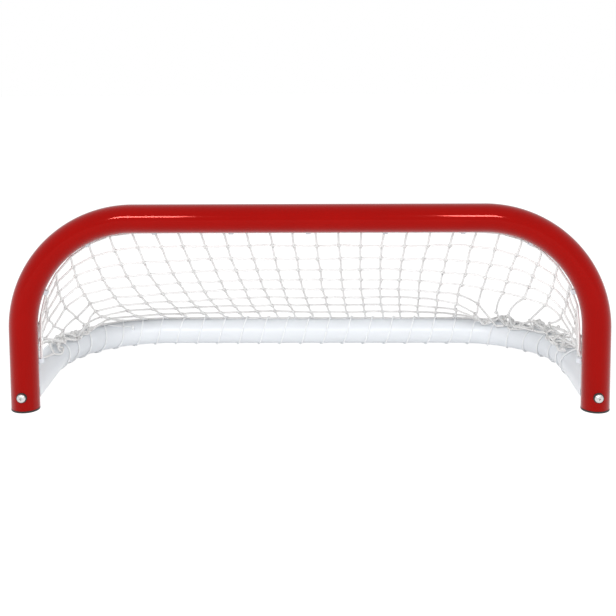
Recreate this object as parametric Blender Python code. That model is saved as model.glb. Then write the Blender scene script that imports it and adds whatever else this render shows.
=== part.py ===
"""Pond hockey goal: a low bent-steel arch, a U-shaped base tube behind it and a cord net between them.

Lengths are in metres. +Z is up, +X runs along the crossbar and -Y faces the player. The origin is on the
floor, in the middle of the goal's outline seen from above.
"""

import math

import bmesh
import bpy
from mathutils import Matrix, Vector

# The two bent tubes
OPENING_WIDTH = 0.9144
OPENING_HEIGHT = 0.3025
BASE_DEPTH = 0.381
TUBE_DIAMETER = 0.0483
TUBE_WALL = 0.0016
ARCH_BEND_RADIUS = 0.1886
BASE_BEND_RADIUS = 0.195
TUBE_SIDES = 24
BEND_STEPS = 12

# What seats on another piece keeps this much air round it
CLEARANCE = 0.0003

# Foot caps
CAP_RIM = 0.0032
CAP_EDGE = 0.0011
CAP_STEM = 0.013
CAP_STEM_WALL = 0.0022

# Bolts, saddle washers, end plugs and nuts
BOLT_DIAMETER = 0.008
BOLT_LENGTH = 0.072
BOLT_TIP_CHAMFER = 0.0008
BOLT_HEAD_DIAMETER = 0.0145
BOLT_HEAD_HEIGHT = 0.0046
RECESS_SPAN = 0.0066
RECESS_WIDTH = 0.0014
RECESS_DEPTH = 0.0026
BOLT_SIDES = 16
HEAD_STEPS = 4
WASHER_DIAMETER = 0.0175
WASHER_THICKNESS = 0.0014
PLUG_THICKNESS = 0.006
NUT_ACROSS_FLATS = 0.013
NUT_HEIGHT = 0.0065
NUT_POINTS = 12

# Net
CORD_DIAMETER = 0.004
CLIPS = 11
MESHES_PER_CLIP = 3
MESHES_DEEP = 9
NET_SAG = 0.020
NET_CORNER_HEIGHT = 0.055
NET_CORNER_DEPTH = 0.150

# Clips that hold the net's top cord behind the arch
CLIP_LEAN = math.radians(61.7)
CLIP_LENGTH = 0.008
CLIP_WIDTH = 0.009
CLIP_WALL = 0.0016
CLIP_FLOOR = 0.0024
CLIP_MOUTH = math.radians(60)
CLIP_STEPS = 4
PEG_DIAMETER = 0.0054
PEG_TIP_DIAMETER = 0.0038
PEG_BARB_DIAMETER = 0.0068
PEG_LENGTH = 0.0052
PEG_SIDES = 10

# Lacing that ties the net's foot cord to the base tube, a thinner cord than the net's
LACING_DIAMETER = 0.0026
LACED_FIRST = 2
LACED_EACH_FROM = 4
LACING_POINTS = 12
LACING_FLAT = 0.1 * LACING_DIAMETER

TUBE_RADIUS = TUBE_DIAMETER / 2
BORE_RADIUS = TUBE_RADIUS - TUBE_WALL
PAST_TUBE = 1.5 * TUBE_RADIUS
BOLT_HOLE_RADIUS = BOLT_DIAMETER / 2 + CLEARANCE
POST_X = OPENING_WIDTH / 2 + TUBE_RADIUS
ARCH_FOOT = CAP_RIM + CLEARANCE
ARCH_HEIGHT = OPENING_HEIGHT + TUBE_RADIUS - ARCH_FOOT
MESHES_ACROSS = (CLIPS - 1) * MESHES_PER_CLIP + 1


def facet_bulge(bend_radius):
    """How far the straight facets on the inner side of a bend stand in from its true arc."""
    return (bend_radius - TUBE_RADIUS) * (1 - math.cos(math.pi / 4 / BEND_STEPS))


# The base tube lies on the turns of its lacing, which the floor flattens a little.
LACING_RADIUS = TUBE_RADIUS + CLEARANCE + facet_bulge(BASE_BEND_RADIUS) + LACING_DIAMETER / 2
BASE_Z = LACING_RADIUS + LACING_DIAMETER / 2 - LACING_FLAT
FOOT_CORD_RADIUS = TUBE_RADIUS + 2 * CLEARANCE + CORD_DIAMETER / 2
WASHER_SEAT = TUBE_RADIUS + CLEARANCE
HEAD_SEAT = WASHER_SEAT + WASHER_THICKNESS + CLEARANCE
PLUG_FRONT = TUBE_RADIUS + 2 * CLEARANCE
NUT_FRONT = PLUG_FRONT + PLUG_THICKNESS + CLEARANCE
CLIP_SEAT = TUBE_RADIUS + CLEARANCE + facet_bulge(ARCH_BEND_RADIUS)
CLIP_BORE = CORD_DIAMETER / 2 + CLEARANCE
TOP_CORD_RADIUS = CLIP_SEAT + CLIP_FLOOR + CLIP_BORE
FRONT_REACH = HEAD_SEAT + BOLT_HEAD_HEIGHT
REAR_REACH = BASE_DEPTH + LACING_RADIUS + LACING_DIAMETER / 2


def along_u(distance, height, bend_radius):
    """A point that far along a U of tube: up the left leg, over the bar and down the right leg.

    It gives x and the height up the legs, then the direction of travel in the same two terms.
    """
    leg = height - bend_radius
    bend = bend_radius * math.pi / 2
    half = leg + bend + POST_X - bend_radius
    if distance > half:
        x, up, along_x, along_up = along_u(2 * half - distance, height, bend_radius)
        return -x, up, along_x, -along_up
    if distance <= leg:
        return -POST_X, distance, 0.0, 1.0
    if distance <= leg + bend:
        turn = (distance - leg) / bend_radius
        x = -POST_X + bend_radius * (1 - math.cos(turn))
        return x, leg + bend_radius * math.sin(turn), math.sin(turn), math.cos(turn)
    return distance - half, height, 1.0, 0.0


def u_length(height, bend_radius):
    return 2 * (height - bend_radius + bend_radius * math.pi / 2 + POST_X - bend_radius)


def arch_frame(distance):
    """The arch's axis there, its direction, and the way to the inside of the arch."""
    x, up, along_x, along_up = along_u(distance, ARCH_HEIGHT, ARCH_BEND_RADIUS)
    return Vector((x, 0, ARCH_FOOT + up)), Vector((along_x, 0, along_up)), Vector((along_up, 0, -along_x))


def base_frame_at(distance):
    """The base tube's axis there, its direction, and the way to the inside of the U."""
    x, back, along_x, along_back = along_u(distance, BASE_DEPTH, BASE_BEND_RADIUS)
    return Vector((x, back, BASE_Z)), Vector((along_x, along_back, 0)), Vector((along_back, -along_x, 0))


ARCH_LENGTH = u_length(ARCH_HEIGHT, ARCH_BEND_RADIUS)
BASE_LENGTH = u_length(BASE_DEPTH, BASE_BEND_RADIUS)
TOP_PITCH = (ARCH_LENGTH - 2 * NET_CORNER_HEIGHT) / MESHES_ACROSS
FOOT_PITCH = (BASE_LENGTH - 2 * NET_CORNER_DEPTH) / MESHES_ACROSS

for old in list(bpy.data.objects):
    bpy.data.objects.remove(old)

goal = bpy.data.objects.new("goal", None)
goal.location = (0, (FRONT_REACH - REAR_REACH) / 2, 0)
bpy.context.collection.objects.link(goal)


def finish(name, colour, roughness, metallic=0.0):
    material = bpy.data.materials.new(name)
    material.use_nodes = True
    shader = material.node_tree.nodes["Principled BSDF"]
    shader.inputs["Base Color"].default_value = (*colour, 1)
    shader.inputs["Roughness"].default_value = roughness
    shader.inputs["Metallic"].default_value = metallic
    return material


RED_PAINT = finish("red powder coat", (0.42, 0.008, 0.007), 0.25)
WHITE_PAINT = finish("white powder coat", (0.80, 0.81, 0.84), 0.35)
ZINC = finish("zinc plated steel", (0.72, 0.71, 0.69), 0.3, 1.0)
BLACK_PLASTIC = finish("black polyethylene", (0.015, 0.014, 0.014), 0.5)
WHITE_NYLON = finish("white nylon", (0.75, 0.75, 0.73), 0.45)
CORD = finish("white net cord", (0.78, 0.78, 0.76), 0.8)


def add(name, mesh, material):
    """A new object of the goal that shows this mesh."""
    if not mesh.materials:
        mesh.materials.append(material)
    piece = bpy.data.objects.new(name, mesh)
    piece.parent = goal
    bpy.context.collection.objects.link(piece)
    return piece


def mesh_of(bm, name, smooth_angle=math.radians(35)):
    bmesh.ops.recalc_face_normals(bm, faces=bm.faces)
    mesh = bpy.data.meshes.new(name)
    bm.to_mesh(mesh)
    bm.free()
    mesh.shade_smooth()
    mesh.set_sharp_from_angle(angle=smooth_angle)
    return mesh


def helper(name, bm):
    """A cutter, which is no piece of the goal."""
    cutter = add(name, mesh_of(bm, name), ZINC)
    cutter.hide_render = True
    cutter.display_type = "WIRE"
    return cutter


def boolean(piece, operation, other):
    cut = piece.modifiers.new(operation.lower(), "BOOLEAN")
    cut.operation = operation
    cut.solver = "EXACT"
    cut.object = other


def add_rod(bm, start, end, radius, sides=TUBE_SIDES):
    """A closed round rod from one point to the other, added to a mesh."""
    way = end - start
    place = Matrix.Translation((start + end) / 2) @ way.to_track_quat("Z", "Y").to_matrix().to_4x4()
    bmesh.ops.create_cone(
        bm,
        cap_ends=True,
        segments=sides,
        radius1=radius,
        radius2=radius,
        depth=way.length,
        matrix=place,
    )


def turned(name, profile, ring=False, sides=TUBE_SIDES):
    """A mesh turned round Z from (radius, height) points: from axis to axis, or a closed ring."""
    bm = bmesh.new()
    points = [bm.verts.new((radius, 0, height)) for radius, height in profile]
    lines = [bm.edges.new(pair) for pair in zip(points, points[1:])]
    if ring:
        lines.append(bm.edges.new((points[-1], points[0])))
    bmesh.ops.spin(bm, geom=points + lines, cent=(0, 0, 0), axis=(0, 0, 1), angle=math.tau, steps=sides)
    bmesh.ops.remove_doubles(bm, verts=bm.verts, dist=1e-6)
    return mesh_of(bm, name)


def bent_tube(name, height, bend_radius, material):
    """A tube bent twice on one die: leg, quarter bend, bar, quarter bend, leg, standing in the XZ plane."""
    leg = height - bend_radius
    bar = 2 * (POST_X - bend_radius)
    bm = bmesh.new()
    foot = Matrix.Translation((-POST_X, 0, 0))
    bmesh.ops.create_circle(bm, segments=TUBE_SIDES, radius=TUBE_RADIUS, matrix=foot)
    ring = bm.verts[:] + bm.edges[:]

    def push(ring, step):
        made = bmesh.ops.extrude_edge_only(bm, edges=[e for e in ring if isinstance(e, bmesh.types.BMEdge)])
        fresh = {v for v in made["geom"] if isinstance(v, bmesh.types.BMVert)}
        bmesh.ops.translate(bm, vec=step, verts=list(fresh))
        edges = [e for e in made["geom"] if isinstance(e, bmesh.types.BMEdge) and fresh >= set(e.verts)]
        return list(fresh) + edges

    def bend(ring, centre):
        made = bmesh.ops.spin(
            bm,
            geom=ring,
            cent=centre,
            axis=(0, 1, 0),
            angle=math.pi / 2,
            steps=BEND_STEPS,
        )
        return made["geom_last"]

    ring = push(ring, (0, 0, leg))
    ring = bend(ring, (-POST_X + bend_radius, 0, leg))
    ring = push(ring, (bar, 0, 0))
    ring = bend(ring, (POST_X - bend_radius, 0, leg))
    push(ring, (0, 0, -leg))
    tube = add(name, mesh_of(bm, name), material)
    wall = tube.modifiers.new("wall", "SOLIDIFY")
    wall.thickness = TUBE_WALL
    wall.offset = -1
    return tube


def side_name(side):
    return "left" if side < 0 else "right"


def clip_distance(clip):
    return ARCH_LENGTH / 2 + (clip - (CLIPS - 1) / 2) * MESHES_PER_CLIP * TOP_PITCH


def clip_place(clip):
    """The clip's frame: origin on the tube's axis, Y along the tube and Z out through the clip."""
    axis, along, inward = arch_frame(clip_distance(clip))
    out = Vector((0, 1, 0)) * math.cos(CLIP_LEAN) + inward * math.sin(CLIP_LEAN)
    across = along.cross(out)
    place = Matrix((across, along, out)).transposed().to_4x4()
    place.translation = axis
    return place


# The red front arch, one tube with holes for the bolts and for the clips' pegs
def make_arch():
    arch = bent_tube("front_arch", ARCH_HEIGHT, ARCH_BEND_RADIUS, RED_PAINT)
    arch.location.z = ARCH_FOOT
    holes = bmesh.new()
    for side in (-1, 1):
        foot = Vector((side * POST_X, 0, BASE_Z))
        through = Vector((0, PAST_TUBE, 0))
        add_rod(holes, foot - through, foot + through, BOLT_HOLE_RADIUS, sides=BOLT_SIDES)
    for clip in range(CLIPS):
        place = clip_place(clip)
        inside = place @ Vector((0, 0, BORE_RADIUS / 2))
        outside = place @ Vector((0, 0, PAST_TUBE))
        add_rod(holes, inside, outside, PEG_DIAMETER / 2 + CLEARANCE, sides=PEG_SIDES)
    boolean(arch, "DIFFERENCE", helper("arch_holes", holes))


# The white base, the same tube bent flat, its ends coped to the posts
def make_base():
    base = bent_tube("base_frame", BASE_DEPTH, BASE_BEND_RADIUS, WHITE_PAINT)
    base.rotation_euler.x = -math.pi / 2
    base.location.z = BASE_Z
    copes = bmesh.new()
    for side in (-1, 1):
        foot = Vector((side * POST_X, 0, BASE_Z))
        height = Vector((0, 0, PAST_TUBE))
        add_rod(copes, foot - height, foot + height, TUBE_RADIUS + CLEARANCE, sides=2 * TUBE_SIDES)
    boolean(base, "DIFFERENCE", helper("base_copes", copes))


# A black cap closes each post and is what the goal stands on in front
def make_caps():
    stem = BORE_RADIUS - CLEARANCE
    top = CAP_RIM + CAP_STEM
    profile = [
        (0, 0),
        (TUBE_RADIUS - CAP_EDGE, 0),
        (TUBE_RADIUS, CAP_EDGE),
        (TUBE_RADIUS, CAP_RIM),
        (stem, CAP_RIM),
        (stem, top - CAP_EDGE),
        (stem - CAP_EDGE, top),
        (stem - CAP_STEM_WALL, top),
        (stem - CAP_STEM_WALL, CAP_RIM),
        (0, CAP_RIM),
    ]
    mesh = turned("foot_cap", profile)
    for side in (-1, 1):
        cap = add(f"foot_cap_{side_name(side)}", mesh, BLACK_PLASTIC)
        cap.location.x = side * POST_X


def bolt_mesh():
    """A pan-head bolt with a cross recess, its head up and the seat of the head at z = 0."""
    shank = BOLT_DIAMETER / 2
    head = BOLT_HEAD_DIAMETER / 2
    edge = BOLT_HEAD_HEIGHT / 3
    profile = [
        (0, -BOLT_LENGTH),
        (shank - BOLT_TIP_CHAMFER, -BOLT_LENGTH),
        (shank, -BOLT_LENGTH + BOLT_TIP_CHAMFER),
        (shank, 0),
        (head, 0),
    ]
    for step in range(HEAD_STEPS):
        turn = step / HEAD_STEPS * math.pi / 2
        profile.append((head * math.cos(turn), edge + (BOLT_HEAD_HEIGHT - edge) * math.sin(turn)))
    profile.append((0, BOLT_HEAD_HEIGHT))
    cross = []
    reach, half = RECESS_SPAN / 2, RECESS_WIDTH / 2
    for quarter in range(4):
        turn = Matrix.Rotation(quarter * math.pi / 2, 3, "Z")
        cross += [turn @ Vector(corner) for corner in ((reach, -half, 0), (reach, half, 0), (half, half, 0))]
    recess = prism(cross, Vector((0, 0, 2 * RECESS_DEPTH)))
    bmesh.ops.translate(recess, vec=(0, 0, BOLT_HEAD_HEIGHT - RECESS_DEPTH), verts=recess.verts)
    blank = turned("bolt", profile, sides=BOLT_SIDES)
    return joined("bolt", blank, "DIFFERENCE", mesh_of(recess, "recess"), ZINC)


def prism(outline, depth):
    """A flat outline drawn out by a vector, as a closed mesh."""
    bm = bmesh.new()
    face = bm.faces.new([bm.verts.new(point) for point in outline])
    made = bmesh.ops.extrude_face_region(bm, geom=[face])
    ends = [v for v in made["geom"] if isinstance(v, bmesh.types.BMVert)]
    bmesh.ops.translate(bm, vec=depth, verts=ends)
    bmesh.ops.recalc_face_normals(bm, faces=bm.faces)
    return bm


def joined(name, mesh, operation, other, material):
    """The mesh that a Boolean of two meshes leaves, for pieces that share it."""
    blanks = [add(f"{name}_blank", mesh, material), add(f"{name}_tool", other, material)]
    boolean(blanks[0], operation, blanks[1])
    result = bpy.data.meshes.new_from_object(
        blanks[0].evaluated_get(bpy.context.evaluated_depsgraph_get())
    )
    for blank in blanks:
        bpy.data.objects.remove(blank)
    return result


def hex_nut(name):
    """A hexagon ring: its corners and the middles of its flats stand against points of the bore."""
    bm = bmesh.new()
    rings = []
    for height in (0, NUT_HEIGHT):
        for outer in (True, False):
            ring = []
            for step in range(NUT_POINTS):
                turn = step / NUT_POINTS * math.tau
                reach = NUT_ACROSS_FLATS / 2 / (1 if step % 2 else math.cos(math.pi / 6))
                radius = reach if outer else BOLT_HOLE_RADIUS
                ring.append(bm.verts.new((radius * math.cos(turn), radius * math.sin(turn), height)))
            rings.append(ring)
    for first, second in ((0, 1), (1, 3), (3, 2), (2, 0)):
        for step in range(NUT_POINTS):
            follow = (step + 1) % NUT_POINTS
            a, b = rings[first], rings[second]
            bm.faces.new((a[step], a[follow], b[follow], b[step]))
    return mesh_of(bm, name)


# Each post foot: the bolt goes through the post and a saddle washer into a plug and nut in the base tube
def make_joints():
    bolt = bolt_mesh()
    nut = hex_nut("nut")
    plug_hole = BOLT_HOLE_RADIUS
    plug_rim = BORE_RADIUS - CLEARANCE
    plug = turned(
        "end_plug",
        [(plug_hole, 0), (plug_rim, 0), (plug_rim, PLUG_THICKNESS), (plug_hole, PLUG_THICKNESS)],
        ring=True,
    )
    edge = WASHER_DIAMETER / 2
    washer = turned(
        "saddle_washer",
        [(plug_hole, 0), (edge, 0), (edge, TUBE_RADIUS), (plug_hole, TUBE_RADIUS)],
        ring=True,
    )
    for side in (-1, 1):
        name = side_name(side)
        facing_front = (math.pi / 2, 0, 0)
        post = Vector((side * POST_X, 0, BASE_Z))
        pieces = [
            (add(f"post_bolt_{name}", bolt, ZINC), -HEAD_SEAT),
            (add(f"end_plug_{name}", plug, ZINC), PLUG_FRONT + PLUG_THICKNESS),
            (add(f"plug_nut_{name}", nut, ZINC), NUT_FRONT + NUT_HEIGHT),
        ]
        saddle = add(f"saddle_washer_{name}", washer, BLACK_PLASTIC)
        pieces.append((saddle, -WASHER_SEAT - WASHER_THICKNESS + TUBE_RADIUS))
        for piece, back in pieces:
            piece.location = post + Vector((0, back, 0))
            piece.rotation_euler = facing_front
        post_shape = bmesh.new()
        up = Vector((0, 0, PAST_TUBE))
        add_rod(post_shape, post - up, post + up, WASHER_SEAT, sides=2 * TUBE_SIDES)
        boolean(saddle, "DIFFERENCE", helper(f"post_shape_{name}", post_shape))


def clip_mesh():
    """A snap clip on a barbed peg: Z points out of the tube, from the tube's axis, and Y runs along it."""
    lip = math.pi - CLIP_MOUTH / 2
    bore = CLIP_BORE / math.cos(lip / CLIP_STEPS / 2)
    ring = bore + CLIP_WALL
    half = CLIP_WIDTH / 2
    outline = [(-half, CLIP_SEAT), (half, CLIP_SEAT)]
    for step in range(CLIP_STEPS + 1):
        turn = lip * step / CLIP_STEPS
        outline.append((ring * math.cos(turn), TOP_CORD_RADIUS + ring * math.sin(turn)))
    for step in range(2 * CLIP_STEPS + 1):
        turn = lip * (1 - step / CLIP_STEPS)
        outline.append((bore * math.cos(turn), TOP_CORD_RADIUS + bore * math.sin(turn)))
    outline.append((ring * math.cos(lip), TOP_CORD_RADIUS - ring * math.sin(lip)))
    body = prism([(x, -CLIP_LENGTH / 2, z) for x, z in outline], Vector((0, CLIP_LENGTH, 0)))
    neck = PEG_DIAMETER / 2
    barb = PEG_BARB_DIAMETER / 2
    shoulder = BORE_RADIUS * math.cos(math.pi / TUBE_SIDES) - barb**2 / BORE_RADIUS - CLEARANCE
    tip = CLIP_SEAT - PEG_LENGTH - TUBE_WALL
    sink = CLIP_SEAT + CLIP_FLOOR / 2
    profile = [(0, tip), (PEG_TIP_DIAMETER / 2, tip), (barb, shoulder - CLIP_WALL / 2), (barb, shoulder)]
    profile += [(neck, shoulder), (neck, sink), (0, sink)]
    peg = turned("peg", profile, sides=PEG_SIDES)
    return joined("clip", mesh_of(body, "clip"), "UNION", peg, WHITE_NYLON)


# Clips pegged into the arch, behind it and towards its inside, where they don't show from the front
def make_clips():
    mesh = clip_mesh()
    for number in range(CLIPS):
        clip = add(f"net_clip_{number + 1:02}", mesh, WHITE_NYLON)
        clip.matrix_local = clip_place(number)


def top_cord_point(column):
    """Where a column of meshes starts: the top cord runs straight through each clip and to the next."""
    clip, step = divmod(column, MESHES_PER_CLIP)
    if step > 1:
        before, after = (column - step + 1), (column - step + MESHES_PER_CLIP)
        share = (step - 1) / (MESHES_PER_CLIP - 1)
        return top_cord_point(before).lerp(top_cord_point(after), share)
    place = clip_place(clip)
    return place @ Vector((0, (step - 0.5) * TOP_PITCH, TOP_CORD_RADIUS))


def foot_cord_point(column):
    """Where that column ends, on the cord along the top of the base tube."""
    axis, _, _ = base_frame_at(NET_CORNER_DEPTH + column * FOOT_PITCH)
    return axis + Vector((0, 0, FOOT_CORD_RADIUS))


# The knotted net, hung from the clips and drawn back to the base, sagging a little under its own weight
def make_net():
    middle = (MESHES_ACROSS + 1) // 2
    full = (top_cord_point(middle) - foot_cord_point(middle)).length
    bm = bmesh.new()
    grid = []
    for column in range(MESHES_ACROSS + 1):
        top, foot = top_cord_point(column), foot_cord_point(column)
        sag = 4 * NET_SAG * ((top - foot).length / full) ** 2
        line = []
        for row in range(MESHES_DEEP + 1):
            share = row / MESHES_DEEP
            point = top.lerp(foot, share)
            point.z -= sag * share * (1 - share)
            line.append(bm.verts.new(point))
        grid.append(line)
    for left, right in zip(grid, grid[1:]):
        for row in range(MESHES_DEEP):
            bm.faces.new((left[row], left[row + 1], right[row + 1], right[row]))
    net = add("net", mesh_of(bm, "net"), CORD)
    cords = net.modifiers.new("cords", "WIREFRAME")
    cords.thickness = CORD_DIAMETER
    cords.offset = 0
    cords.use_boundary = True
    cords.use_replace = True
    cords.use_even_offset = False


def lacing_points():
    """The lacing's line: one turn round the base tube from each laced mesh to the next."""
    last = MESHES_ACROSS - 1 - LACED_FIRST
    each_to = MESHES_ACROSS - 1 - LACED_EACH_FROM
    meshes = range(LACED_FIRST, last + 1)
    laced = [m for m in meshes if LACED_EACH_FROM <= m <= each_to or (m - LACED_FIRST) % 2 == 0]
    over_foot_cord = FOOT_CORD_RADIUS + CORD_DIAMETER / 2 + CLEARANCE + LACING_DIAMETER / 2
    corner = math.cos(math.pi / LACING_POINTS)
    points = []
    steps = (len(laced) - 1) * LACING_POINTS
    for step in range(-2, steps + 2):
        turn = (step + 0.5) / LACING_POINTS
        before = min(max(math.floor(turn), 0), len(laced) - 2)
        mesh = laced[before] + (turn - before) * (laced[before + 1] - laced[before])
        axis, _, inward = base_frame_at(NET_CORNER_DEPTH + (mesh + 0.5) * FOOT_PITCH)
        on_top = step % LACING_POINTS in (0, LACING_POINTS - 1)
        radius = (over_foot_cord if on_top else LACING_RADIUS) / corner
        angle = turn * math.tau
        points.append(axis + radius * (Vector((0, 0, math.cos(angle))) - inward * math.sin(angle)))
    return points


def least_self_gap(points):
    """The least distance between parts of a cord at least half a turn apart, less its diameter."""
    apart = LACING_POINTS // 2
    return min((a - b).length for i, a in enumerate(points) for b in points[i + apart :]) - LACING_DIAMETER


# One cord laces the net's foot to the base tube, once through each mesh of the back and the bends
def make_lacing():
    points = lacing_points()
    print(f"least gap of the lacing to itself: {least_self_gap(points) * 1000:.1f} mm")
    curve = bpy.data.curves.new("lacing", "CURVE")
    curve.dimensions = "3D"
    curve.bevel_depth = LACING_DIAMETER / 2
    curve.bevel_resolution = 1
    curve.use_fill_caps = True
    spline = curve.splines.new("POLY")
    spline.points.add(len(points) - 1)
    for place, point in zip(spline.points, points):
        place.co = (*point, 1)
    route = bpy.data.objects.new("lacing_route", curve)
    bpy.context.collection.objects.link(route)
    whole = bpy.data.meshes.new_from_object(route.evaluated_get(bpy.context.evaluated_depsgraph_get()))
    bpy.data.objects.remove(route)
    bm = bmesh.new()
    bm.from_mesh(whole)
    bmesh.ops.remove_doubles(bm, verts=bm.verts, dist=1e-6)
    every = bm.verts[:] + bm.edges[:] + bm.faces[:]
    cut = bmesh.ops.bisect_plane(bm, geom=every, plane_co=(0, 0, 0), plane_no=(0, 0, -1), clear_outer=True)
    rims = [e for e in cut["geom_cut"] if isinstance(e, bmesh.types.BMEdge)]
    bmesh.ops.holes_fill(bm, edges=rims, sides=0)
    add("net_lacing", mesh_of(bm, "net_lacing"), CORD)


make_arch()
make_base()
make_caps()
make_joints()
make_clips()
make_net()
make_lacing()
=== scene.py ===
import math

import bpy
import numpy as np
from mathutils import Matrix, Vector


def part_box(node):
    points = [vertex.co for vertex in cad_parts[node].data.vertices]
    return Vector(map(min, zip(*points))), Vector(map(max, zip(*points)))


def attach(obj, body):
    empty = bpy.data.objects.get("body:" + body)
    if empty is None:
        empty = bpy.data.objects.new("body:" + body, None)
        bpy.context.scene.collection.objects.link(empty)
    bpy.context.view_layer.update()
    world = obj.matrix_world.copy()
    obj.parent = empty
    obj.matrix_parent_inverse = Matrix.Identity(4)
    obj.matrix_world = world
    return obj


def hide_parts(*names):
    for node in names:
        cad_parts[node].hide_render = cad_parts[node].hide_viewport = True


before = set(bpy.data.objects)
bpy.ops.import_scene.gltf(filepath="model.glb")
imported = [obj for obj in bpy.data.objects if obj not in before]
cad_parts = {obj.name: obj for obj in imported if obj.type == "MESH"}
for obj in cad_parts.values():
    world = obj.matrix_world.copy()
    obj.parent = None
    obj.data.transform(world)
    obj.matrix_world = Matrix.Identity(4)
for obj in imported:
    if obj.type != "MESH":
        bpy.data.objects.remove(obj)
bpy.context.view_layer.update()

# Camera
# The goal seen from the player's side, a little above it, as in the photograph. The lens is shifted so that
# the view looks down less steeply than it would to bring the goal to the middle of the picture.
CAMERA_FROM_ARCH = 1.88302
CAMERA_ASIDE = 0.03616
CAMERA_HEIGHT = 0.66955
CAMERA_YAW = -0.0187
CAMERA_PITCH = 0.1055
CAMERA_ROLL = -0.0062
CAMERA_LENS = 67.14
CAMERA_SENSOR = 36
CAMERA_SHIFT = -0.285

arch_low, arch_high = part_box("front_arch")
camera_place = Vector((CAMERA_ASIDE, (arch_low.y + arch_high.y) / 2 - CAMERA_FROM_ARCH, CAMERA_HEIGHT))
level_right = Vector((math.cos(CAMERA_YAW), -math.sin(CAMERA_YAW), 0))
view_way = Vector(
    (
        math.sin(CAMERA_YAW) * math.cos(CAMERA_PITCH),
        math.cos(CAMERA_YAW) * math.cos(CAMERA_PITCH),
        -math.sin(CAMERA_PITCH),
    )
)
level_up = level_right.cross(view_way)
camera_right = level_right * math.cos(CAMERA_ROLL) + level_up * math.sin(CAMERA_ROLL)
camera_up = level_up * math.cos(CAMERA_ROLL) - level_right * math.sin(CAMERA_ROLL)
camera_data = bpy.data.cameras.new("camera")
camera_data.lens = CAMERA_LENS
camera_data.sensor_width = CAMERA_SENSOR
camera_data.shift_y = CAMERA_SHIFT
camera = bpy.data.objects.new("camera", camera_data)
camera.matrix_world = Matrix.Translation(camera_place) @ Matrix(
    (camera_right, camera_up, -view_way)
).transposed().to_4x4()
bpy.context.scene.collection.objects.link(camera)
bpy.context.scene.camera = camera

# Front arch
# One length of 48.3 mm steel tube, bent twice on a die into both posts and the crossbar, drilled for the
# bolts and the clips' pegs, and powder coated a glossy red. Its rims are filed and its bore is open.
MM = 0.001
TUBE_RADIUS = (arch_high.y - arch_low.y) / 2
TUBE_WALL = 1.6 * MM
ARCH_BEND = 188.6 * MM
TUBE_SIDES = 96
BEND_STEPS = 56
RIM_EDGE = 0.4 * MM
HOLE_SIDES = 32
CLIPS = 11
CLIP_SPACING = 129.4 * MM
CLIP_LEAN = math.radians(61.7)
PEG_HOLE = 3.0 * MM
BOLT_HOLE = 4.3 * MM
ROUND_ANGLE = math.radians(35)
POST_X = arch_high.x - TUBE_RADIUS
ARCH_Y = (arch_low.y + arch_high.y) / 2
ARCH_FOOT = arch_low.z
ARCH_TOP = arch_high.z - TUBE_RADIUS
base_low, base_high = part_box("base_frame")
BASE_Z = (base_low.z + base_high.z) / 2


def deselect():
    """Nothing is selected, and no piece is in edit mode."""
    if bpy.context.object and bpy.context.object.mode != "OBJECT":
        bpy.ops.object.mode_set(mode="OBJECT")
    bpy.ops.object.select_all(action="DESELECT")


def take(piece):
    """Only this piece is selected and active."""
    deselect()
    piece.select_set(True)
    bpy.context.view_layer.objects.active = piece


def settle():
    """The active piece keeps its look, with its place put in its mesh. It is given back."""
    bpy.ops.object.transform_apply(location=True, rotation=True, scale=True)
    return bpy.context.object


def shape(piece, kind, **settings):
    """A modifier is put on the piece and applied."""
    take(piece)
    modifier = piece.modifiers.new("shape", kind)
    for name, value in settings.items():
        setattr(modifier, name, value)
    bpy.ops.object.modifier_apply(modifier=modifier.name)


def cut(piece, tool, operation="DIFFERENCE"):
    """The tool is taken out of the piece, or joined to it, and is then thrown away."""
    shape(piece, "BOOLEAN", operation=operation, solver="EXACT", object=tool)
    bpy.data.objects.remove(tool)


def pick(part, test):
    """In edit mode, the parts of the active mesh that pass a test are selected, and nothing else."""
    bpy.ops.mesh.select_all(action="DESELECT")
    bpy.ops.object.mode_set(mode="OBJECT")
    mesh = bpy.context.object.data
    for item in getattr(mesh, part):
        item.select = test(mesh, item)
    bpy.ops.object.mode_set(mode="EDIT")


def rod(start, end, radius, sides=HOLE_SIDES):
    """A closed round rod from one point to the other."""
    way = end - start
    deselect()
    bpy.ops.mesh.primitive_cylinder_add(
        vertices=sides,
        radius=radius,
        depth=way.length,
        location=(start + end) / 2,
        rotation=way.to_track_quat("Z", "Y").to_euler(),
    )
    return settle()


def block(centre, size):
    """A closed block, with its sides along the axes."""
    deselect()
    bpy.ops.mesh.primitive_cube_add(size=1, location=centre, scale=size)
    return settle()


def joined(pieces):
    """Several pieces made one, with their meshes left as they are."""
    deselect()
    for piece in pieces:
        piece.select_set(True)
    bpy.context.view_layer.objects.active = pieces[0]
    bpy.ops.object.join()
    return pieces[0]


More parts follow.
